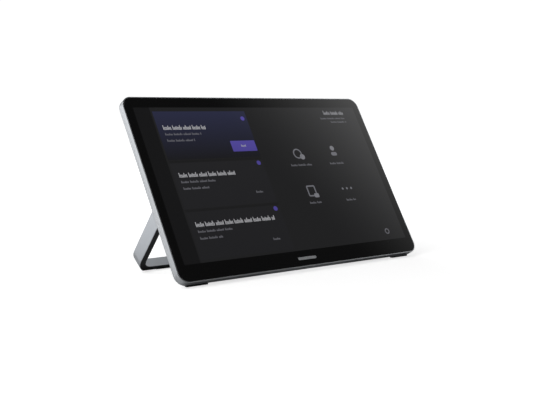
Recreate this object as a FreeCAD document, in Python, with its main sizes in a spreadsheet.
import FreeCAD, Part
import math
import os

import Sketcher

# A tabletop touch display: a thin glass-fronted case that leans back on a folding loop stand.
#
# Two local frames are used, and both have x to the right of somebody who faces the screen.
#   case frame:  origin in the middle of the case's lower edge, on the glass's front plane,
#                y up along the screen, z out of the screen.
#   stand frame: origin on the pivot line, y from the loop's foot bar towards its pivots,
#                z out of the loop's front face, which lies against the case when folded.
# The finished object stands on z = 0, screen towards -Y, with the origin in the middle of its base.

SIZES = {
    # Case, outside
    "case_width": 274.0,
    "case_height": 170.0,
    "case_thickness": 9.0,
    "case_corner": 9.5,
    "back_round": 3.0,
    "parting_depth": 4.7,
    "parting_bevel": 0.2,
    "rim_width": 0.85,
    "rim_setback": 0.2,
    "cover_wall": 1.6,
    "skirt_wall": 1.3,
    "skirt_reach": 1.8,
    "shell_gap": 0.1,
    # Screen stack, from the front
    "glass_thickness": 1.8,
    "glass_gap": 0.15,
    "glass_bevel": 0.3,
    "adhesive_thickness": 0.4,
    "adhesive_inset": 0.5,
    "side_border": 8.8,
    "bottom_border": 15.1,
    "top_border": 10.7,
    "optical_gap": 0.1,
    "sensor_margin": 2.8,
    "sensor_thickness": 0.3,
    "cell_side_margin": 4.5,
    "cell_low_margin": 6.2,
    "cell_high_margin": 3.2,
    "cell_corner": 1.0,
    "cell_gap": 0.2,
    "cell_thickness": 1.2,
    "guide_thickness": 1.8,
    "guide_gap": 0.1,
    "tray_wall": 0.6,
    "tray_sheet": 0.3,
    "plate_thickness": 0.8,
    "plate_inset": 0.5,
    # Plate screws, in bosses on the rear cover's floor
    "plate_screw_side": 118.0,
    "plate_screw_inset": 18.0,
    "plate_boss_radius": 3.0,
    "small_head_radius": 1.6,
    "small_head_height": 0.5,
    "small_shank_radius": 0.8,
    "small_screw_bite": 1.5,
    # Electronics cover on the back
    "hump_depth": 14.5,
    "hump_wall": 1.6,
    "hump_round": 2.0,
    "hump_clearance": 3.3,
    "hump_gap": 1.0,
    "window_margin": 2.5,
    "window_ends": 9.5,
    "window_corner": 6.0,
    # Port recess in the cover's lower edge
    "recess_width": 90.0,
    "recess_height": 22.0,
    "recess_depth": 12.0,
    # Main board
    "board_gap": 2.9,
    "board_width": 150.0,
    "board_height": 80.0,
    "board_top_room": 10.0,
    "board_thickness": 1.2,
    "board_hole_inset": 5.0,
    "standoff_height": 5.7,
    "standoff_radius": 2.8,
    "screw_shank_radius": 1.2,
    "screw_hole_gap": 0.05,
    "screw_head_radius": 2.3,
    "screw_head_height": 1.5,
    "screw_drive_radius": 1.0,
    "screw_drive_depth": 0.8,
    "board_screw_reach": 3.5,
    "chip_width": 20.0,
    "chip_thickness": 1.2,
    "chip_offset": 8.0,
    "thermal_pad_thickness": 0.5,
    "spreader_width": 70.0,
    "spreader_height": 44.0,
    "spreader_sheet": 1.2,
    "spreader_post_inset": 4.0,
    "spreader_post_radius": 2.0,
    "fin_height": 3.2,
    "fin_thickness": 1.2,
    "fin_count": 10,
    "radio_width": 24.0,
    "radio_height": 18.0,
    "radio_thickness": 2.2,
    "radio_side": 55.0,
    "radio_drop": 14.0,
    # Sockets
    "usb_width": 8.94,
    "usb_height": 3.2,
    "usb_corner": 1.4,
    "usb_wall": 0.3,
    "usb_tongue": 0.7,
    "usb_depth": 7.5,
    "usb_side": 24.0,
    "usb_pitch": 16.0,
    "hdmi_width": 15.0,
    "hdmi_height": 6.0,
    "hdmi_corner": 0.8,
    "hdmi_wall": 0.5,
    "hdmi_tongue": 1.4,
    "hdmi_depth": 11.0,
    "hdmi_side": 16.0,
    "socket_setback": 0.4,
    "socket_gap": 0.3,
    "socket_back": 1.2,
    # Flat cables
    "flex_thickness": 0.3,
    "flex_slot_gap": 0.8,
    "display_flex_width": 30.0,
    "touch_flex_width": 16.0,
    "touch_flex_side": 40.0,
    "flex_rise": 14.0,
    # Speaker, lock plate, aerials, label
    "speaker_side": 70.0,
    "speaker_width": 34.0,
    "speaker_height": 18.0,
    "speaker_thickness": 8.0,
    "speaker_corner": 3.0,
    "speaker_floor": 2.0,
    "cone_radius": 7.5,
    "cone_depth": 1.2,
    "cone_gap": 0.2,
    "grille_hole_radius": 0.75,
    "grille_pitch": 3.0,
    "grille_columns": 9,
    "grille_rows": 5,
    "lock_slot_width": 7.0,
    "lock_slot_height": 3.2,
    "lock_plate_width": 18.0,
    "lock_plate_height": 12.0,
    "lock_plate_thickness": 1.6,
    "aerial_side": 50.0,
    "aerial_width": 34.0,
    "aerial_height": 6.0,
    "aerial_thickness": 0.6,
    "aerial_drop": 1.2,
    "label_width": 60.0,
    "label_height": 24.0,
    "label_rise": 32.0,
    "label_recess": 0.3,
    "label_thickness": 0.2,
    "label_gap": 0.3,
    "vent_width": 2.0,
    "vent_height": 12.0,
    "vent_drop": 15.0,
    "vent_pitch": 6.0,
    "vent_count": 24,
    # Electronics cover screws
    "cover_screw_inset": 9.0,
    "cover_boss_radius": 3.4,
    "cover_boss_seat": 3.0,
    "counterbore_radius": 2.6,
    "cover_screw_bite": 1.1,
    # Lean and feet
    "lean": 30.9,
    "foot_clearance": 1.0,
    "foot_height": 3.2,
    "foot_base_width": 2.8,
    "foot_root_width": 3.4,
    "foot_length": 21.0,
    "foot_end_inset": 9.0,
    # Stand
    "stand_width": 242.0,
    "stand_corner": 14.0,
    "leg_width": 5.7,
    "leg_back_width": 2.0,
    "leg_depth": 14.5,
    "leg_taper": 1.1,
    "boss_inset": 0.6,
    "pivot_height": 74.0,
    "stand_tuck": 1.5,
    "stand_gap": 0.5,
    "lining_border": 0.5,
    "lining_thickness": 0.8,
    "lining_top": 2.0,
    "bar_foot_side": 100.0,
    "bar_foot_height": 3.0,
    "bar_foot_depth": 5.0,
    "bar_foot_trim": 1.2,
    "bar_foot_reveal": 0.4,
    # Hinges
    "pin_radius": 3.0,
    "running_gap": 0.05,
    "pin_grip": 4.2,
    "bush_wall": 0.95,
    "bush_flange": 0.5,
    "bush_flange_thickness": 0.6,
    "bracket_width": 17.2,
    "bracket_gap": 1.0,
    "bracket_length": 30.0,
    "bracket_sheet": 1.5,
    "bracket_corner": 2.0,
    "knuckle_inset": 4.7,
    "knuckle_width": 8.0,
    "knuckle_radius": 4.7,
    "bracket_screw_rise": 11.5,
    "bracket_screw_inset": 3.2,
    "bracket_screw_bite": 1.1,
    "washer_gap": 0.3,
    "washer_radius": 4.6,
    "washer_thickness": 1.3,
    "nut_radius": 4.7,
    "nut_thickness": 3.0,
    "pin_tail": 0.5,
}

NEAR = 0.001
SIDES = {"left": -1, "right": 1}

DOC = FreeCAD.newDocument("TouchDisplay")


class Size:
    """A number with the expression that gives it, so a sum of sizes stays linked to the sheet."""

    def __init__(self, value, text):
        self.value = float(value)
        self.text = text

    def __add__(self, other):
        other = as_size(other)
        return Size(self.value + other.value, f"({self.text} + {other.text})")

    def __sub__(self, other):
        other = as_size(other)
        return Size(self.value - other.value, f"({self.text} - {other.text})")

    def __mul__(self, other):
        other = as_size(other)
        return Size(self.value * other.value, f"({self.text} * {other.text})")

    def __truediv__(self, other):
        other = as_size(other)
        return Size(self.value / other.value, f"({self.text} / {other.text})")

    def __rsub__(self, other):
        return as_size(other) - self

    def __neg__(self):
        return Size(-self.value, f"(0 - {self.text})")

    __radd__ = __add__
    __rmul__ = __mul__


def as_size(number):
    """Return a plain number as a Size; a Size comes back as it is."""
    if isinstance(number, Size):
        return number
    if number < 0:
        return -Size(-number, repr(float(-number)))
    return Size(number, repr(float(number)))


def sine(angle):
    """Return the sine of an angle in degrees."""
    return Size(math.sin(math.radians(angle.value)), f"sin({angle.text})")


def cosine(angle):
    """Return the cosine of an angle in degrees."""
    return Size(math.cos(math.radians(angle.value)), f"cos({angle.text})")


def square_root(size):
    """Return the square root of a size."""
    return Size(math.sqrt(size.value), f"sqrt({size.text})")


class Sheet:
    """The driving sizes, one cell each, read as attributes."""

    def __init__(self, sizes):
        sheet = DOC.addObject("Spreadsheet::Sheet", "Sizes")
        for row, (name, value) in enumerate(sizes.items(), start=1):
            sheet.set(f"A{row}", name)
            sheet.set(f"B{row}", str(value))
            sheet.setAlias(f"B{row}", name)
            setattr(self, name, Size(value, f"Sizes.{name}"))


class Derived:
    """Sizes worked out from the sheet, kept as properties that are bound to it."""

    def __init__(self):
        self.store = DOC.addObject("App::VarSet", "Derived")
        self.values = {}

    def keep(self, name, size):
        """Store a worked-out size under a name and return the named size."""
        self.store.addProperty("App::PropertyFloat", name, "Derived", "")
        self.store.setExpression(name, size.text)
        self.values[name] = size.value
        return Size(size.value, f"Derived.{name}")

    def check(self):
        """Raise if the document's own values differ from the ones used to draw."""
        for name, value in self.values.items():
            found = getattr(self.store, name)
            if abs(found - value) > NEAR:
                raise ValueError(f"{name} is {found} in the document and {value} in the drawing")


s = Sheet(SIZES)
DOC.recompute()
d = Derived()
ZERO = as_size(0)


class Window:
    """A rectangle centred on x = 0: half width, lower edge, upper edge and corner radius."""

    def __init__(self, side, low, high, corner):
        self.side = side
        self.low = low
        self.high = high
        self.corner = corner

    def grown(self, by):
        """Return the rectangle offset outwards by a size."""
        return Window(self.side + by, self.low - by, self.high + by, self.corner + by)

    def outline(self):
        """Return its rounded outline."""
        return rectangle(-self.side, self.side, self.low, self.high, self.corner)

    def named(self, name):
        """Return the same rectangle with its four sizes kept under names."""
        return Window(
            d.keep(f"{name}_side", self.side),
            d.keep(f"{name}_low", self.low),
            d.keep(f"{name}_high", self.high),
            d.keep(f"{name}_corner", self.corner),
        )


# ---------------------------------------------------------------- outlines in a sketch


def hold(sketch, kind, places, size):
    """Add one dimension to a sketch and bind it to the sheet."""
    index = sketch.addConstraint(Sketcher.Constraint(kind, *places, size.value))
    sketch.setExpression(f"Constraints[{index}]", size.text)


def hold_point(sketch, edge, end, across, up):
    """Hold an end (1 start, 2 end, 3 centre) of a sketch edge at a place from the origin."""
    hold(sketch, "DistanceX", (-1, 1, edge, end), across)
    hold(sketch, "DistanceY", (-1, 1, edge, end), up)


def point(across, up):
    """Return a sketch point for two sizes."""
    return FreeCAD.Vector(across.value, up.value, 0)


def circle(across, up, radius):
    """Return a function that draws a circle."""

    def draw(sketch):
        shape = Part.Circle(point(across, up), FreeCAD.Vector(0, 0, 1), radius.value)
        edge = sketch.addGeometry(shape, False)
        hold_point(sketch, edge, 3, across, up)
        hold(sketch, "Radius", (edge,), radius)

    return draw


def polygon(corners):
    """Return a function that draws a closed polygon through (across, up) corners."""

    def draw(sketch):
        count = len(corners)
        first = sketch.GeometryCount
        for index, corner in enumerate(corners):
            following = corners[(index + 1) % count]
            sketch.addGeometry(Part.LineSegment(point(*corner), point(*following)), False)
        for index in range(count):
            following = first + (index + 1) % count
            sketch.addConstraint(Sketcher.Constraint("Coincident", first + index, 2, following, 1))
        for index, corner in enumerate(corners):
            hold_point(sketch, first + index, 1, *corner)

    return draw


def rectangle(left, right, low, high, corner=None):
    """Return a function that draws a rectangle, with round corners if a radius is given."""
    if corner is None:
        return polygon([(left, low), (right, low), (right, high), (left, high)])

    def draw(sketch):
        west, east = left.value, right.value
        south, north, radius = low.value, high.value, corner.value
        lines = [
            ((west + radius, south), (east - radius, south)),
            ((east, south + radius), (east, north - radius)),
            ((east - radius, north), (west + radius, north)),
            ((west, north - radius), (west, south + radius)),
        ]
        centres = [
            (east - radius, south + radius, 270),
            (east - radius, north - radius, 0),
            (west + radius, north - radius, 90),
            (west + radius, south + radius, 180),
        ]
        first = sketch.GeometryCount
        for start, end in lines:
            segment = Part.LineSegment(FreeCAD.Vector(*start, 0), FreeCAD.Vector(*end, 0))
            sketch.addGeometry(segment, False)
        for across, up, angle in centres:
            whole = Part.Circle(FreeCAD.Vector(across, up, 0), FreeCAD.Vector(0, 0, 1), radius)
            quarter = Part.ArcOfCircle(whole, math.radians(angle), math.radians(angle + 90))
            sketch.addGeometry(quarter, False)
        for index in range(4):
            line = first + index
            arc = first + 4 + index
            following = first + (index + 1) % 4
            sketch.addConstraint(Sketcher.Constraint("Tangent", line, 2, arc, 1))
            sketch.addConstraint(Sketcher.Constraint("Tangent", arc, 2, following, 1))
        for arc in range(first + 5, first + 8):
            sketch.addConstraint(Sketcher.Constraint("Equal", first + 4, arc))
        for line, kind in enumerate(("Horizontal", "Vertical", "Horizontal", "Vertical")):
            sketch.addConstraint(Sketcher.Constraint(kind, first + line))
        hold(sketch, "Radius", (first + 4,), corner)
        hold(sketch, "DistanceY", (-1, 1, first, 1), low)
        hold(sketch, "DistanceX", (-1, 1, first + 1, 1), right)
        hold(sketch, "DistanceY", (-1, 1, first + 2, 1), high)
        hold(sketch, "DistanceX", (-1, 1, first + 3, 1), left)

    return draw


def hexagon(across, up, radius):
    """Return a function that draws a hexagon inside a circle of the given radius."""
    corners = []
    for step in range(6):
        angle = math.radians(60 * step)
        corners.append((across + radius * math.cos(angle), up + radius * math.sin(angle)))
    return polygon(corners)


# ---------------------------------------------------------------- pieces

PLANES = {"x": "YZ_Plane", "y": "XZ_Plane", "z": "XY_Plane"}
PIECES = []


class Piece:
    """One sub-part: a body built from features between two levels along x, y or z.

    An outline is drawn in (y, z) for features along x, (x, z) along y and (x, y) along z.
    """

    def __init__(self, name, home="case"):
        self.name = name
        self.home = home
        self.body = DOC.addObject("PartDesign::Body", name)
        self.body.Label = name
        PIECES.append(self)

    def origin_feature(self, role):
        """Return one of the body's own origin planes or axes."""
        return next(item for item in self.body.Origin.OriginFeatures if item.Role == role)

    def sketch(self, axis, low, high, outlines):
        """Draw outlines on the level that a feature along the axis starts from."""
        sketch = self.body.newObject("Sketcher::SketchObject", f"{self.name}_outline")
        sketch.AttachmentSupport = [(self.origin_feature(PLANES[axis]), "")]
        sketch.MapMode = "FlatFace"
        # The plane across y faces -y, so a feature along y starts from its high level.
        level = -high if axis == "y" else low
        sketch.AttachmentOffset = FreeCAD.Placement(FreeCAD.Vector(0, 0, level.value), FreeCAD.Rotation())
        sketch.setExpression("AttachmentOffset.Base.z", level.text)
        for draw in outlines:
            draw(sketch)
        return sketch

    def feature(self, kind, axis, low, high, outlines, taper):
        """Add a pad or a pocket between two levels."""
        profile = self.sketch(axis, low, high, outlines)
        feature = self.body.newObject(f"PartDesign::{kind}", f"{self.name}_{kind.lower()}")
        feature.Profile = profile
        feature.Length = high.value - low.value
        feature.setExpression("Length", (high - low).text)
        feature.Reversed = kind == "Pocket"
        if taper is not None:
            feature.TaperAngle = taper.value
            feature.setExpression("TaperAngle", taper.text)
        return feature

    def pad(self, axis, low, high, *outlines, taper=None):
        """Add material inside the outlines between two levels."""
        return self.feature("Pad", axis, low, high, outlines, taper)

    def cut(self, axis, low, high, *outlines, taper=None):
        """Remove material inside the outlines between two levels."""
        return self.feature("Pocket", axis, low, high, outlines, taper)

    def dress(self, kind, size, picks):
        """Add a Fillet or a Chamfer to the edges that a test picks."""
        DOC.recompute()
        base = self.body.Tip
        names = []
        for number, edge in enumerate(base.Shape.Edges, start=1):
            if picks(edge.BoundBox):
                names.append(f"Edge{number}")
        feature = self.body.newObject(f"PartDesign::{kind}", f"{self.name}_{kind.lower()}")
        feature.Base = (base, names)
        measure = "Radius" if kind == "Fillet" else "Size"
        setattr(feature, measure, size.value)
        feature.setExpression(measure, size.text)

    def repeat(self, axis, pitch, count):
        """Repeat the last feature along the x or y axis at a pitch."""
        original = self.body.Tip
        pattern = self.body.newObject("PartDesign::LinearPattern", f"{self.name}_pattern")
        pattern.Originals = [original]
        pattern.Direction = (self.origin_feature(f"{axis.upper()}_Axis"), [""])
        pattern.setExpression("Length", (pitch * (count - 1)).text)
        pattern.setExpression("Occurrences", count.text)
        self.body.Tip = pattern


def in_plane(axis, level):
    """Return a test for edges that lie in the plane at a level."""

    def picks(box):
        spans = {"x": (box.XMin, box.XMax), "y": (box.YMin, box.YMax), "z": (box.ZMin, box.ZMax)}
        low, high = spans[axis]
        return abs(low - level.value) < NEAR and abs(high - level.value) < NEAR

    return picks


def on_side(side, inner, outer):
    """Return the low and high levels along x of a span on the left (-1) or the right (1)."""
    if side > 0:
        return inner, outer
    return -outer, -inner


def flat(name, front, back, window):
    """Make a flat piece that fills a window between two levels."""
    piece = Piece(name)
    piece.pad("z", back, front, window.outline())
    return piece


# ---------------------------------------------------------------- shared geometry

CASE = Window(s.case_width / 2, ZERO, s.case_height, s.case_corner)
SEAT = CASE.grown(-s.rim_width).named("seat")
GLASS = SEAT.grown(-s.glass_gap).named("glass")
ACTIVE = Window(
    s.case_width / 2 - s.side_border,
    s.bottom_border,
    s.case_height - s.top_border,
    s.cell_corner,
).named("active")
CELL = Window(
    ACTIVE.side + s.cell_side_margin,
    ACTIVE.low - s.cell_low_margin,
    ACTIVE.high + s.cell_high_margin,
    s.cell_corner,
).named("cell")
CELL_ROOM = CELL.grown(s.cell_gap).named("cell_room")
SKIRT = CELL_ROOM.grown(s.skirt_wall).named("skirt")
CAVITY = SKIRT.grown(s.shell_gap).named("cavity")

GLASS_BACK = -s.glass_thickness
LEDGE = d.keep("ledge", GLASS_BACK - s.adhesive_thickness)
SENSOR_FRONT = GLASS_BACK - s.optical_gap
SENSOR_BACK = d.keep("sensor_back", SENSOR_FRONT - s.sensor_thickness)
CELL_BACK = d.keep("cell_back", SENSOR_BACK - s.cell_thickness)
GUIDE_BACK = d.keep("guide_back", CELL_BACK - s.guide_thickness)
TRAY_BACK = d.keep("tray_back", GUIDE_BACK - s.tray_sheet)
PLATE_BACK = d.keep("plate_back", TRAY_BACK - s.plate_thickness)
PARTING = -s.parting_depth
CASE_BACK = -s.case_thickness
COVER_FLOOR = d.keep("cover_floor", CASE_BACK + s.cover_wall)

HUMP_BACK = d.keep("hump_back", CASE_BACK - s.hump_depth)
HUMP_INSIDE = d.keep("hump_inside", HUMP_BACK + s.hump_wall)
LEG_INNER = d.keep("leg_inner", s.stand_width / 2 - s.leg_width)
HUMP_SIDE = LEG_INNER - s.hump_gap
HUMP_LOW = s.stand_tuck + s.leg_width + s.hump_clearance
RECESS_TOP = d.keep("recess_top", HUMP_LOW + s.recess_height)
RECESS_FLOOR = d.keep("recess_floor", HUMP_BACK + s.recess_depth)
BOARD_LOW = d.keep("board_low", RECESS_TOP + s.hump_wall + s.board_gap)
BOARD_HIGH = d.keep("board_high", BOARD_LOW + s.board_height)
HUMP = Window(
    HUMP_SIDE,
    HUMP_LOW,
    BOARD_HIGH + s.board_top_room,
    s.stand_corner - s.leg_width,
).named("hump")
HUMP_ROOM = HUMP.grown(-s.hump_wall).named("hump_room")

BRACKET_OUTER = d.keep("bracket_outer", HUMP_ROOM.side - s.bracket_gap)
BRACKET_INNER = d.keep("bracket_inner", BRACKET_OUTER - s.bracket_width)
WINDOW = Window(
    BRACKET_INNER - s.window_margin,
    HUMP.low + s.window_ends,
    HUMP.high - s.window_ends,
    s.window_corner,
).named("window")

BOARD_FRONT = d.keep("board_front", PLATE_BACK - s.standoff_height)
BOARD_BACK = d.keep("board_back", BOARD_FRONT - s.board_thickness)
SHANK_HOLE = s.screw_shank_radius + s.screw_hole_gap

PIVOT_UP = s.pivot_height
PIVOT_OUT = d.keep("pivot_out", CASE_BACK - s.stand_gap - s.leg_depth / 2)
LEG_LENGTH = d.keep("leg_length", s.pivot_height - s.stand_tuck)
HALF_DEPTH = s.leg_depth / 2

# Lean of the case. The floor is the plane where y * cos(lean) + z * sin(lean) is FLOOR_LEVEL.
LEAN_SINE = d.keep("lean_sine", sine(s.lean))
LEAN_COSINE = d.keep("lean_cosine", cosine(s.lean))
BACK_CENTRE = s.case_thickness - s.back_round
LOWEST = s.back_round * LEAN_COSINE - BACK_CENTRE * LEAN_SINE - s.back_round
FLOOR_LEVEL = d.keep("floor_level", LOWEST - s.foot_clearance)

# Spread of the stand from upright, so that its trimmed foot edge meets the same floor:
# length * cos(spread) + half depth * sin(spread) = height of the pivot + trim.
PIVOT_RISE = d.keep("pivot_rise", PIVOT_UP * LEAN_COSINE + PIVOT_OUT * LEAN_SINE - FLOOR_LEVEL)
REACH = PIVOT_RISE + s.bar_foot_trim
SPAN_SQUARED = d.keep("span_squared", LEG_LENGTH * LEG_LENGTH + HALF_DEPTH * HALF_DEPTH)
SIDEWAYS = d.keep("sideways", square_root(SPAN_SQUARED - REACH * REACH))
SPREAD_COSINE = d.keep("spread_cosine", (LEG_LENGTH * REACH - HALF_DEPTH * SIDEWAYS) / SPAN_SQUARED)
SPREAD_SINE = d.keep("spread_sine", (HALF_DEPTH * REACH + LEG_LENGTH * SIDEWAYS) / SPAN_SQUARED)

PLATE_SCREWS = []
for across in (-s.plate_screw_side, s.plate_screw_side):
    PLATE_SCREWS.append((across, CELL.low + s.plate_screw_inset))
    PLATE_SCREWS.append((across, (CELL.low + CELL.high) / 2))
    PLATE_SCREWS.append((across, CELL.high - s.plate_screw_inset))

COVER_SCREWS = []
for across in (-(HUMP.side - s.cover_screw_inset), HUMP.side - s.cover_screw_inset):
    COVER_SCREWS.append((across, HUMP.low + s.cover_screw_inset))
    COVER_SCREWS.append((across, HUMP.high - s.cover_screw_inset))

BRACKET_SCREWS = []
for across in (-(BRACKET_INNER + s.bracket_screw_inset), BRACKET_INNER + s.bracket_screw_inset):
    BRACKET_SCREWS.append((across, PIVOT_UP - s.bracket_screw_rise))
    BRACKET_SCREWS.append((across, PIVOT_UP + s.bracket_screw_rise))

BOARD_SCREWS = []
for across in (-(s.board_width / 2 - s.board_hole_inset), ZERO, s.board_width / 2 - s.board_hole_inset):
    BOARD_SCREWS.append((across, BOARD_LOW + s.board_hole_inset))
    BOARD_SCREWS.append((across, BOARD_HIGH - s.board_hole_inset))


def circles(places, radius):
    """Return circle outlines of one radius at several places."""
    return [circle(across, up, radius) for across, up in places]


def screws(name, places, seat, reach, head, shank, home="case"):
    """Make pan-head screws: the head stands behind the seat level, the shank runs forwards.

    head is (radius, height) and shank is the shank's radius.
    """
    piece = Piece(name, home)
    radius, height = head
    piece.pad("z", seat - height, seat, *circles(places, radius))
    piece.pad("z", seat, seat + reach, *circles(places, shank))
    if height.value > s.screw_drive_depth.value:
        drives = [hexagon(across, up, s.screw_drive_radius) for across, up in places]
        piece.cut("z", seat - height, seat - height + s.screw_drive_depth, *drives)


# ---------------------------------------------------------------- screen stack


def make_cover_glass():
    """Front glass with a small bevel round its front edge."""
    piece = flat("cover_glass", ZERO, GLASS_BACK, GLASS)
    piece.dress("Chamfer", s.glass_bevel, in_plane("z", ZERO))


def make_glass_adhesive():
    """Ring of tape that holds the glass to the front frame's ledge."""
    piece = flat("glass_adhesive", GLASS_BACK, LEDGE, GLASS.grown(-s.adhesive_inset))
    piece.cut("z", LEDGE, GLASS_BACK, CELL_ROOM.outline())


def make_screen_layers():
    """Touch sensor, liquid crystal cell and light guide."""
    flat("touch_sensor", SENSOR_FRONT, SENSOR_BACK, ACTIVE.grown(s.sensor_margin))
    flat("lcd_cell", SENSOR_BACK, CELL_BACK, CELL)
    flat("light_guide", CELL_BACK, GUIDE_BACK, CELL.grown(-(s.tray_wall + s.guide_gap)))


def make_backlight_tray():
    """Pressed steel tray round the light guide."""
    piece = flat("backlight_tray", CELL_BACK, TRAY_BACK, CELL)
    piece.cut("z", GUIDE_BACK, CELL_BACK, CELL.grown(-s.tray_wall).outline())


def make_chassis_plate():
    """Stiffening plate behind the screen, with screw seats and slots for the flat cables."""
    piece = flat("chassis_plate", TRAY_BACK, PLATE_BACK, CELL.grown(-s.plate_inset))
    seats = circles(PLATE_SCREWS, s.small_head_radius + s.screw_hole_gap)
    piece.cut("z", TRAY_BACK - s.small_head_height, TRAY_BACK, *seats)
    holes = circles(PLATE_SCREWS, s.small_shank_radius + s.screw_hole_gap)
    piece.cut("z", PLATE_BACK, TRAY_BACK, *holes)
    slots = [flex_outline(width, across, s.flex_slot_gap) for width, across in FLEXES.values()]
    piece.cut("z", PLATE_BACK, TRAY_BACK, *slots)


# ---------------------------------------------------------------- case shells


def make_front_frame():
    """Metal ring round the glass, with a ledge for it and a skirt that enters the rear cover."""
    piece = Piece("front_frame")
    front = -s.rim_setback
    skirt_end = PARTING - s.skirt_reach
    piece.pad("z", PARTING, front, CASE.outline())
    piece.pad("z", skirt_end, PARTING, SKIRT.outline())
    piece.cut("z", LEDGE, front, SEAT.outline())
    piece.cut("z", skirt_end, LEDGE, CELL_ROOM.outline())

    def outer_joint(box):
        return in_plane("z", PARTING)(box) and outside_skirt(box)

    piece.dress("Chamfer", s.parting_bevel, outer_joint)


def outside_skirt(box):
    """Tell an edge on the case's outer face from one on the skirt."""
    wide = max(abs(box.XMin), abs(box.XMax)) > SKIRT.side.value + NEAR
    tall = box.YMin < SKIRT.low.value - NEAR or box.YMax > SKIRT.high.value + NEAR
    return wide or tall


def floor_point(across, up):
    """Return the (y, z) place of a point on level axes from the centre of the back rounding.

    across runs level towards the back, and up runs upwards, both as the case leans.
    """
    out_y = s.back_round + across * LEAN_SINE + up * LEAN_COSINE
    out_z = up * LEAN_SINE - BACK_CENTRE - across * LEAN_COSINE
    return out_y, out_z


def foot_outline():
    """Outline of a case foot, flat along the floor and set into the lower back corner."""
    base = -(s.back_round + s.foot_clearance)
    root = base + s.foot_height
    return polygon([
        floor_point(-(s.foot_base_width / 2), base),
        floor_point(s.foot_base_width / 2, base),
        floor_point(s.foot_root_width / 2, root),
        floor_point(-(s.foot_root_width / 2), root),
    ])


def foot_span(side):
    """Return the levels along x of the foot on one side."""
    outer = s.case_width / 2 - s.foot_end_inset
    return on_side(side, outer - s.foot_length, outer)


def make_rear_cover():
    """Back shell with the screen's cavity, a window into the electronics cover and screw bosses."""
    piece = Piece("rear_cover")
    piece.pad("z", CASE_BACK, PARTING, CASE.outline())
    piece.dress("Fillet", s.back_round, in_plane("z", CASE_BACK))
    piece.dress("Chamfer", s.parting_bevel, in_plane("z", PARTING))
    piece.cut("z", COVER_FLOOR, PARTING, CAVITY.outline())
    piece.cut("z", CASE_BACK, COVER_FLOOR, WINDOW.outline())
    piece.pad("z", COVER_FLOOR, PLATE_BACK, *circles(PLATE_SCREWS, s.plate_boss_radius))
    plate_holes = circles(PLATE_SCREWS, s.small_shank_radius + s.screw_hole_gap)
    piece.cut("z", PLATE_BACK - s.small_screw_bite, PLATE_BACK, *plate_holes)
    piece.cut("z", CASE_BACK, COVER_FLOOR, *circles(COVER_SCREWS + BRACKET_SCREWS, SHANK_HOLE))
    for side in SIDES.values():
        low, high = foot_span(side)
        piece.cut("x", low, high, foot_outline())


def make_feet():
    """Rubber feet under the case's lower back edge."""
    for name, side in SIDES.items():
        piece = Piece(f"foot_{name}")
        low, high = foot_span(side)
        piece.pad("x", low, high, foot_outline())


# ---------------------------------------------------------------- electronics cover


def usb_places():
    """Return the places along x of the two small sockets."""
    return (-s.usb_side, s.usb_pitch - s.usb_side)


def socket_outline(across, width, height, corner, grown):
    """Outline in (x, z) of a socket that stands on the back of the board."""
    return rectangle(
        across - width / 2 - grown,
        across + width / 2 + grown,
        BOARD_BACK - height - grown,
        BOARD_BACK + grown,
        corner + grown,
    )


def usb_outline(across, grown):
    """Outline of one small oval socket."""
    return socket_outline(across, s.usb_width, s.usb_height, s.usb_corner, grown)


def hdmi_outline(grown):
    """Outline of the wide video socket."""
    return socket_outline(s.hdmi_side, s.hdmi_width, s.hdmi_height, s.hdmi_corner, grown)


def lock_slot_outline():
    """Outline of the security slot, left of the port recess as seen from the front."""
    half = s.lock_slot_width / 2
    middle = HUMP.low + s.recess_height / 2
    tall = s.lock_slot_height / 2
    radius = tall - s.shell_gap
    return rectangle(-s.speaker_side - half, half - s.speaker_side, middle - tall, middle + tall, radius)


def cut_port_recess(piece):
    """Notch in the lower edge of the cover, walled on the inside, with the socket openings."""
    half = s.recess_width / 2
    wall = s.hump_wall
    block = rectangle(-(half + wall), half + wall, HUMP.low, RECESS_TOP + wall)
    piece.pad("z", HUMP_INSIDE, RECESS_FLOOR + wall, block)
    notch = rectangle(-half, half, HUMP.low - wall, RECESS_TOP)
    piece.cut("z", HUMP_BACK, RECESS_FLOOR, notch)
    openings = [usb_outline(across, s.socket_gap) for across in usb_places()]
    openings.append(hdmi_outline(s.socket_gap))
    piece.cut("y", RECESS_TOP, RECESS_TOP + wall, *openings)


def cut_vents_and_grille(piece):
    """Row of upright vents near the top, and the grid of round holes over the speaker."""
    first = -(s.vent_pitch * (s.vent_count - 1) / 2)
    half = s.vent_width / 2
    high = HUMP.high - s.vent_drop
    vent = rectangle(first - half, first + half, high - s.vent_height, high, half - s.shell_gap)
    piece.cut("z", HUMP_BACK, HUMP_INSIDE, vent)
    piece.repeat("x", s.vent_pitch, s.vent_count)
    places = []
    middle = HUMP.low + s.recess_height / 2
    for column in range(int(s.grille_columns.value)):
        across = s.speaker_side + s.grille_pitch * (column - (s.grille_columns - 1) / 2)
        for row in range(int(s.grille_rows.value)):
            places.append((across, middle + s.grille_pitch * (row - (s.grille_rows - 1) / 2)))
    piece.cut("z", HUMP_BACK, HUMP_INSIDE, *circles(places, s.grille_hole_radius))


def label_outline(grown):
    """Outline of the blank rating label on the cover's back."""
    half = s.label_width / 2 + grown
    low = RECESS_TOP + s.label_rise - s.label_height / 2 - grown
    return rectangle(-half, half, low, low + s.label_height + grown * 2)


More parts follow.
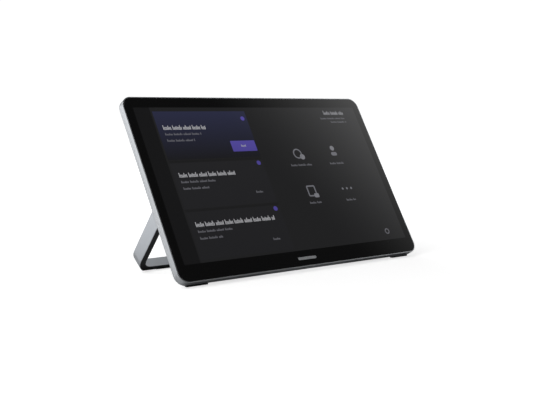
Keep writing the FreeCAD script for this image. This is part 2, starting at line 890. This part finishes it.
def make_electronics_cover():
    """Shallow box on the back that holds the board, with recess, vents, grille and hinge bores."""
    piece = Piece("electronics_cover")
    piece.pad("z", HUMP_BACK, CASE_BACK, HUMP.outline())
    piece.dress("Fillet", s.hump_round, in_plane("z", HUMP_BACK))
    piece.cut("z", HUMP_INSIDE, CASE_BACK, HUMP_ROOM.outline())
    piece.pad("z", HUMP_INSIDE, CASE_BACK, *circles(COVER_SCREWS, s.cover_boss_radius))
    piece.cut("z", HUMP_BACK, CASE_BACK - s.cover_boss_seat, *circles(COVER_SCREWS, s.counterbore_radius))
    piece.cut("z", CASE_BACK - s.cover_boss_seat, CASE_BACK, *circles(COVER_SCREWS, SHANK_HOLE))
    cut_port_recess(piece)
    cut_vents_and_grille(piece)
    piece.cut("z", HUMP_BACK, HUMP_INSIDE, lock_slot_outline())
    piece.cut("z", HUMP_BACK, HUMP_BACK + s.label_recess, label_outline(s.label_gap))
    bore = circle(PIVOT_UP, PIVOT_OUT, s.pin_radius + s.running_gap + s.bush_wall)
    piece.cut("x", -HUMP.side, -HUMP_ROOM.side, bore)
    piece.cut("x", HUMP_ROOM.side, HUMP.side, bore)


def make_cover_fittings():
    """Blank label, lock plate and the cover's screws."""
    label = Piece("rating_label")
    floor = HUMP_BACK + s.label_recess
    label.pad("z", floor - s.label_thickness, floor, label_outline(ZERO))
    plate = Piece("lock_plate")
    half = s.lock_plate_width / 2
    tall = s.lock_plate_height / 2
    middle = HUMP.low + s.recess_height / 2
    outline = rectangle(-s.speaker_side - half, half - s.speaker_side, middle - tall, middle + tall)
    plate.pad("z", HUMP_INSIDE, HUMP_INSIDE + s.lock_plate_thickness, outline)
    plate.cut("z", HUMP_INSIDE, HUMP_INSIDE + s.lock_plate_thickness, lock_slot_outline())
    head = (s.screw_head_radius, s.screw_head_height)
    seat = CASE_BACK - s.cover_boss_seat
    reach = s.cover_boss_seat + s.cover_screw_bite
    screws("cover_screws", COVER_SCREWS, seat, reach, head, s.screw_shank_radius)


def make_speaker():
    """Speaker box against the grille, and its cone."""
    box = Piece("speaker_box")
    half = s.speaker_width / 2
    tall = s.speaker_height / 2
    middle = HUMP.low + s.recess_height / 2
    front = HUMP_INSIDE + s.speaker_thickness
    outline = rectangle(
        s.speaker_side - half,
        s.speaker_side + half,
        middle - tall,
        middle + tall,
        s.speaker_corner,
    )
    box.pad("z", HUMP_INSIDE, front, outline)
    room = circle(s.speaker_side, middle, s.cone_radius + s.cone_gap)
    box.cut("z", HUMP_INSIDE, front - s.speaker_floor, room)
    cone = Piece("speaker_cone")
    cone.pad("z", front - s.speaker_floor - s.cone_depth, front - s.speaker_floor,
             circle(s.speaker_side, middle, s.cone_radius))
    cone.dress("Chamfer", s.cone_depth / 2, in_plane("z", front - s.speaker_floor - s.cone_depth))


def make_aerials():
    """Two thin aerial boards against the cover's back wall, near its top."""
    for name, side in SIDES.items():
        piece = Piece(f"aerial_{name}")
        low, high = on_side(side, s.aerial_side, s.aerial_side + s.aerial_width)
        top = HUMP_ROOM.high - s.aerial_drop
        outline = rectangle(low, high, top - s.aerial_height, top)
        piece.pad("z", HUMP_INSIDE, HUMP_INSIDE + s.aerial_thickness, outline)


# ---------------------------------------------------------------- main board


def make_main_board():
    """Main board on six hexagon standoffs."""
    board = Piece("main_board")
    half = s.board_width / 2
    board.pad("z", BOARD_BACK, BOARD_FRONT, rectangle(-half, half, BOARD_LOW, BOARD_HIGH))
    board.cut("z", BOARD_BACK, BOARD_FRONT, *circles(BOARD_SCREWS, SHANK_HOLE))
    posts = Piece("board_standoffs")
    outlines = [hexagon(across, up, s.standoff_radius) for across, up in BOARD_SCREWS]
    posts.pad("z", BOARD_FRONT, PLATE_BACK, *outlines)
    posts.cut("z", BOARD_FRONT, BOARD_FRONT + s.board_screw_reach, *circles(BOARD_SCREWS, SHANK_HOLE))
    head = (s.screw_head_radius, s.screw_head_height)
    reach = s.board_thickness + s.board_screw_reach - s.screw_hole_gap
    screws("board_screws", BOARD_SCREWS, BOARD_BACK, reach, head, s.screw_shank_radius)


def make_processor_stack():
    """Processor, thermal pad and the finned spreader that cools them."""
    middle = (BOARD_LOW + BOARD_HIGH) / 2 + s.chip_offset
    half = s.chip_width / 2
    outline = rectangle(-half, half, middle - half, middle + half)
    chip_back = BOARD_BACK - s.chip_thickness
    pad_back = chip_back - s.thermal_pad_thickness
    sheet_back = pad_back - s.spreader_sheet
    Piece("processor").pad("z", chip_back, BOARD_BACK, outline)
    Piece("thermal_pad").pad("z", pad_back, chip_back, outline)
    spreader = Piece("heat_spreader")
    wide = s.spreader_width / 2
    tall = s.spreader_height / 2
    spreader.pad("z", sheet_back, pad_back, rectangle(-wide, wide, middle - tall, middle + tall))
    corners = []
    for across in (-(wide - s.spreader_post_inset), wide - s.spreader_post_inset):
        corners.append((across, middle - tall + s.spreader_post_inset))
        corners.append((across, middle + tall - s.spreader_post_inset))
    spreader.pad("z", pad_back, BOARD_BACK, *circles(corners, s.spreader_post_radius))
    pitch = (s.spreader_width - s.fin_thickness) / (s.fin_count - 1)
    fin = rectangle(-wide, s.fin_thickness - wide, middle - tall, middle + tall)
    spreader.pad("z", sheet_back - s.fin_height, sheet_back, fin)
    spreader.repeat("x", pitch, s.fin_count)


def make_radio_module():
    """Screening can of the radio module on the back of the board."""
    piece = Piece("radio_module")
    high = BOARD_HIGH - s.radio_drop
    half = s.radio_width / 2
    outline = rectangle(s.radio_side - half, s.radio_side + half, high - s.radio_height, high)
    piece.pad("z", BOARD_BACK - s.radio_thickness, BOARD_BACK, outline)


def make_socket(name, outlines, rooms, tongues, depth):
    """Make metal socket shells that open towards the port recess, each with its contact tongue."""
    piece = Piece(name)
    mouth = RECESS_TOP + s.socket_setback
    back = mouth + depth
    piece.pad("y", mouth, back, *outlines)
    piece.cut("y", mouth, back - s.socket_back, *rooms)
    piece.pad("y", mouth + s.socket_back, back - s.socket_back, *tongues)


def make_sockets():
    """Two small oval sockets and one wide video socket."""
    outlines = []
    rooms = []
    tongues = []
    middle = BOARD_BACK - s.usb_height / 2
    for across in usb_places():
        outlines.append(usb_outline(across, ZERO))
        rooms.append(usb_outline(across, -s.usb_wall))
        tongue_half = s.usb_width / 2 - s.usb_corner
        thick = s.usb_tongue / 2
        left, right = across - tongue_half, across + tongue_half
        tongues.append(rectangle(left, right, middle - thick, middle + thick))
    make_socket("usb_sockets", outlines, rooms, tongues, s.usb_depth)
    half = s.hdmi_width / 2 - s.hdmi_height / 2
    middle = BOARD_BACK - s.hdmi_height / 2
    thick = s.hdmi_tongue / 2
    tongue = rectangle(s.hdmi_side - half, s.hdmi_side + half, middle - thick, middle + thick)
    make_socket("video_socket", [hdmi_outline(ZERO)], [hdmi_outline(-s.hdmi_wall)], [tongue], s.hdmi_depth)


FLEXES = {
    "display_flex": (s.display_flex_width, ZERO),
    "touch_flex": (s.touch_flex_width, s.touch_flex_side),
}


def flex_outline(width, across, grown):
    """Outline of a flat cable, or of its slot, where it passes through the chassis plate."""
    up = BOARD_LOW + s.flex_rise
    half = width / 2 + grown
    thick = s.flex_thickness / 2 + grown
    return rectangle(across - half, across + half, up - thick, up + thick)


def make_flexes():
    """Flat cables from the screen, through the chassis plate, to the front of the board."""
    for name, (width, across) in FLEXES.items():
        Piece(name).pad("z", BOARD_FRONT, TRAY_BACK, flex_outline(width, across, ZERO))


# ---------------------------------------------------------------- hinges

PIN_BORE = s.pin_radius + s.running_gap
KNUCKLE_OUTER = d.keep("knuckle_outer", HUMP_ROOM.side - s.knuckle_inset)
KNUCKLE_INNER = d.keep("knuckle_inner", KNUCKLE_OUTER - s.knuckle_width)
WASHER_OUTER = KNUCKLE_INNER - s.washer_gap
WASHER_INNER = d.keep("washer_inner", WASHER_OUTER - s.washer_thickness)
NUT_INNER = d.keep("nut_inner", WASHER_INNER - s.nut_thickness)


def make_brackets():
    """Hinge brackets: a plate on the rear cover with a knuckle that the pin turns in."""
    foot = CASE_BACK - s.bracket_sheet
    for name, side in SIDES.items():
        piece = Piece(f"hinge_bracket_{name}")
        low, high = on_side(side, BRACKET_INNER, BRACKET_OUTER)
        half = s.bracket_length / 2
        outline = rectangle(low, high, PIVOT_UP - half, PIVOT_UP + half, s.bracket_corner)
        piece.pad("z", foot, CASE_BACK, outline)
        low, high = on_side(side, KNUCKLE_INNER, KNUCKLE_OUTER)
        round_part = circle(PIVOT_UP, PIVOT_OUT, s.knuckle_radius)
        web = rectangle(PIVOT_UP - s.knuckle_radius, PIVOT_UP + s.knuckle_radius, PIVOT_OUT, foot)
        piece.pad("x", low, high, round_part)
        piece.pad("x", low, high, web)
        piece.cut("x", low, high, circle(PIVOT_UP, PIVOT_OUT, PIN_BORE))
        places = [place for place in BRACKET_SCREWS if place[0].value * side > 0]
        piece.cut("z", foot, CASE_BACK, *circles(places, SHANK_HOLE))
    head = (s.screw_head_radius, s.screw_head_height)
    reach = s.bracket_sheet + s.bracket_screw_bite
    screws("bracket_screws", BRACKET_SCREWS, foot, reach, head, s.screw_shank_radius)


def make_bushes():
    """Flanged bushes where the pins leave the electronics cover."""
    sleeve = PIN_BORE + s.bush_wall
    for name, side in SIDES.items():
        piece = Piece(f"pivot_bush_{name}")
        low, high = on_side(side, HUMP_ROOM.side, HUMP.side)
        piece.pad("x", low, high, circle(PIVOT_UP, PIVOT_OUT, sleeve))
        low, high = on_side(side, HUMP.side, HUMP.side + s.bush_flange_thickness)
        piece.pad("x", low, high, circle(PIVOT_UP, PIVOT_OUT, sleeve + s.bush_flange))
        low, high = on_side(side, HUMP_ROOM.side, HUMP.side + s.bush_flange_thickness)
        piece.cut("x", low, high, circle(PIVOT_UP, PIVOT_OUT, PIN_BORE))


def make_pins():
    """Steel pins fixed in the stand's legs, each with a friction washer and a nut inside."""
    for name, side in SIDES.items():
        pin = Piece(f"hinge_pin_{name}", "stand")
        low, high = on_side(side, NUT_INNER - s.pin_tail, LEG_INNER + s.pin_grip)
        pin.pad("x", low, high, circle(ZERO, ZERO, s.pin_radius))
        washer = Piece(f"friction_washer_{name}", "stand")
        low, high = on_side(side, WASHER_INNER, WASHER_OUTER)
        washer.pad("x", low, high, circle(ZERO, ZERO, s.washer_radius))
        washer.cut("x", low, high, circle(ZERO, ZERO, s.pin_radius))
        nut = Piece(f"hinge_nut_{name}", "stand")
        low, high = on_side(side, NUT_INNER, WASHER_INNER)
        nut.pad("x", low, high, hexagon(ZERO, ZERO, s.nut_radius))
        nut.cut("x", low, high, circle(ZERO, ZERO, s.pin_radius))


# ---------------------------------------------------------------- stand

FRONT = HALF_DEPTH
BAR_LOW = -LEG_LENGTH


def foot_trim(depth):
    """Return how far a cut of the given depth runs up the bar's front and back along its base."""
    return depth / SPREAD_COSINE, depth / SPREAD_SINE


def leg_profile():
    """Side outline of the loop: round at the pivot, thinner and trimmed at the foot bar."""
    up_front, along_base = foot_trim(s.bar_foot_trim + s.bar_foot_reveal)
    radius = HALF_DEPTH
    tail = s.leg_taper - HALF_DEPTH
    corners = [
        (ZERO, -HALF_DEPTH),
        (BAR_LOW, tail),
        (BAR_LOW, FRONT - along_base),
        (BAR_LOW + up_front, FRONT),
        (ZERO, FRONT),
    ]

    def draw(sketch):
        first = sketch.GeometryCount
        for start, end in zip(corners[:-1], corners[1:]):
            sketch.addGeometry(Part.LineSegment(point(*start), point(*end)), False)
        whole = Part.Circle(FreeCAD.Vector(0, 0, 0), FreeCAD.Vector(0, 0, 1), radius.value)
        half = Part.ArcOfCircle(whole, math.radians(-90), math.radians(90))
        arc = sketch.addGeometry(half, False)
        for line in range(first, arc - 1):
            sketch.addConstraint(Sketcher.Constraint("Coincident", line, 2, line + 1, 1))
        sketch.addConstraint(Sketcher.Constraint("Coincident", arc - 1, 2, arc, 2))
        sketch.addConstraint(Sketcher.Constraint("Coincident", arc, 1, first, 1))
        for index, corner in enumerate(corners[1:-1], start=1):
            hold_point(sketch, first + index, 1, *corner)
        sketch.addConstraint(Sketcher.Constraint("Coincident", arc, 3, -1, 1))
        hold(sketch, "Radius", (arc,), radius)
        hold(sketch, "DistanceX", (-1, 1, first, 1), ZERO)
        hold(sketch, "DistanceX", (-1, 1, arc - 1, 2), ZERO)

    return draw


def loop_opening():
    """Outline of the loop's opening at its front face, open above the pivots."""
    high = HALF_DEPTH * 3
    corner = s.stand_corner - s.leg_width
    return rectangle(-LEG_INNER, LEG_INNER, BAR_LOW + s.leg_width, high, corner)


def bar_foot_outline():
    """Outline of the rubber strip in the bar's lower front edge, flat along the floor."""
    up_front, along_base = foot_trim(s.bar_foot_trim)
    return polygon([
        (BAR_LOW + up_front, FRONT),
        (BAR_LOW, FRONT - along_base),
        (BAR_LOW, FRONT - s.bar_foot_depth),
        (BAR_LOW + s.bar_foot_height, FRONT - s.bar_foot_depth),
        (BAR_LOW + s.bar_foot_height, FRONT),
    ])


def lining_outline():
    """Outer outline of the dark lining on the loop's front face."""
    side = s.stand_width / 2 - s.lining_border
    corner = s.stand_corner - s.lining_border
    return rectangle(-side, side, BAR_LOW + s.lining_border, -s.lining_top, corner)


def make_stand_frame():
    """Aluminium loop: two legs, a foot bar and round ends at the pivots."""
    piece = Piece("stand_frame", "stand")
    side = s.stand_width / 2
    piece.pad("x", -side, side, leg_profile())

    def lower_corners(box):
        upright = box.ZLength > s.leg_width.value
        return upright and abs(box.YMax - BAR_LOW.value) < NEAR

    piece.dress("Fillet", s.stand_corner, lower_corners)
    slope = (s.leg_width - s.leg_back_width) / s.leg_depth
    angle = Size(math.degrees(math.atan(slope.value)), f"(atan({slope.text}) / 1 deg)")
    opening = piece.cut("z", -FRONT, FRONT, loop_opening(), taper=angle)
    turn_pocket_over(opening, FRONT)
    for side_sign in SIDES.values():
        low, high = on_side(side_sign, LEG_INNER, side - s.leg_back_width / 2)
        piece.pad("x", low, high, circle(ZERO, ZERO, HALF_DEPTH - s.boss_inset))
        low, high = on_side(side_sign, LEG_INNER, LEG_INNER + s.pin_grip)
        piece.cut("x", low, high, circle(ZERO, ZERO, s.pin_radius))
    piece.cut("z", FRONT - s.lining_thickness, FRONT, lining_outline())
    piece.cut("x", -s.bar_foot_side, s.bar_foot_side, bar_foot_outline())


def turn_pocket_over(pocket, level):
    """Start a pocket from its far level, so that its taper opens towards the back."""
    pocket.Reversed = False
    pocket.Profile[0].setExpression("AttachmentOffset.Base.z", level.text)


def make_stand_rubber():
    """Dark lining on the loop's front face and the rubber strip under its bar."""
    lining = Piece("stand_lining", "stand")
    back = FRONT - s.lining_thickness
    lining.pad("z", back, FRONT, lining_outline())
    lining.cut("z", back, FRONT, loop_opening())
    up_front, along_base = foot_trim(s.bar_foot_trim + s.bar_foot_reveal)
    corner = [
        (BAR_LOW + up_front, FRONT),
        (BAR_LOW, FRONT),
        (BAR_LOW, FRONT - along_base),
    ]
    side = s.stand_width / 2
    lining.cut("x", -side, side, polygon(corner))
    lining.cut("x", -s.bar_foot_side, s.bar_foot_side, bar_foot_outline())
    strip = Piece("stand_foot", "stand")
    strip.pad("x", -s.bar_foot_side, s.bar_foot_side, bar_foot_outline())


def make_chassis_screws():
    """Flat-headed screws that hold the chassis plate to the rear cover, driven from the screen side."""
    piece = Piece("chassis_screws")
    seat = TRAY_BACK - s.small_head_height
    end = PLATE_BACK - s.small_screw_bite
    piece.pad("z", seat, TRAY_BACK, *circles(PLATE_SCREWS, s.small_head_radius))
    piece.pad("z", end, seat, *circles(PLATE_SCREWS, s.small_shank_radius))


# ---------------------------------------------------------------- placing, checking, writing


def place_pieces():
    """Lean the case, spread the stand and put the middle of the base at the origin."""
    lean = math.radians(s.lean.value)
    spread = math.atan2(SPREAD_SINE.value, SPREAD_COSINE.value)
    across = FreeCAD.Vector(1, 0, 0)
    pivot_back = PIVOT_UP.value * math.sin(lean) - PIVOT_OUT.value * math.cos(lean)
    bases = {
        "case": FreeCAD.Vector(0, 0, -FLOOR_LEVEL.value),
        "stand": FreeCAD.Vector(0, pivot_back, PIVOT_RISE.value),
    }
    turns = {
        "case": FreeCAD.Rotation(across, 90 - s.lean.value),
        "stand": FreeCAD.Rotation(across, 90 + math.degrees(spread)),
    }
    for piece in PIECES:
        piece.body.Placement = FreeCAD.Placement(bases[piece.home], turns[piece.home])
    DOC.recompute()
    whole = FreeCAD.BoundBox()
    for piece in PIECES:
        whole.add(piece.body.Shape.optimalBoundingBox(False))
    shift = FreeCAD.Vector(-whole.Center.x, -whole.Center.y, -whole.ZMin)
    for piece in PIECES:
        piece.body.Placement = FreeCAD.Placement(bases[piece.home] + shift, turns[piece.home])
    DOC.recompute()
    pivot = bases["stand"] + shift
    print(f"pivot at y {pivot.y:.4f}, z {pivot.z:.4f}; spread {math.degrees(spread):.4f} degrees")
    print(f"size {whole.XLength:.2f} x {whole.YLength:.2f} x {whole.ZLength:.2f}")


def check_document():
    """Raise if an object failed, a pocket cut nothing or a sub-part has a bad shape."""
    d.check()
    for item in DOC.Objects:
        if "Invalid" in item.State or "Error" in item.State:
            raise ValueError(f"{item.Label} failed: {item.State}")
        if item.TypeId == "PartDesign::Pocket":
            removed = item.BaseFeature.Shape.Volume - item.Shape.Volume
            if removed < NEAR:
                raise ValueError(f"{item.Label} cuts nothing")
    for piece in PIECES:
        shape = piece.body.Shape
        if shape.isNull() or not shape.isValid() or not shape.Solids:
            raise ValueError(f"{piece.name} has no valid solid")


def write_pieces():
    """Write each sub-part to its own STEP file."""
    os.makedirs("parts", exist_ok=True)
    for piece in PIECES:
        piece.body.Shape.exportStep(os.path.join("parts", f"{piece.name}.step"))
    print(f"{len(PIECES)} pieces")


def main():
    """Build every sub-part, place them, check them and write them."""
    make_cover_glass()
    make_glass_adhesive()
    make_screen_layers()
    make_backlight_tray()
    make_chassis_plate()
    make_chassis_screws()
    make_front_frame()
    make_rear_cover()
    make_feet()
    make_electronics_cover()
    make_cover_fittings()
    make_speaker()
    make_aerials()
    make_main_board()
    make_processor_stack()
    make_radio_module()
    make_sockets()
    make_flexes()
    make_brackets()
    make_bushes()
    make_pins()
    make_stand_frame()
    make_stand_rubber()
    DOC.recompute()
    place_pieces()
    check_document()
    write_pieces()


main()
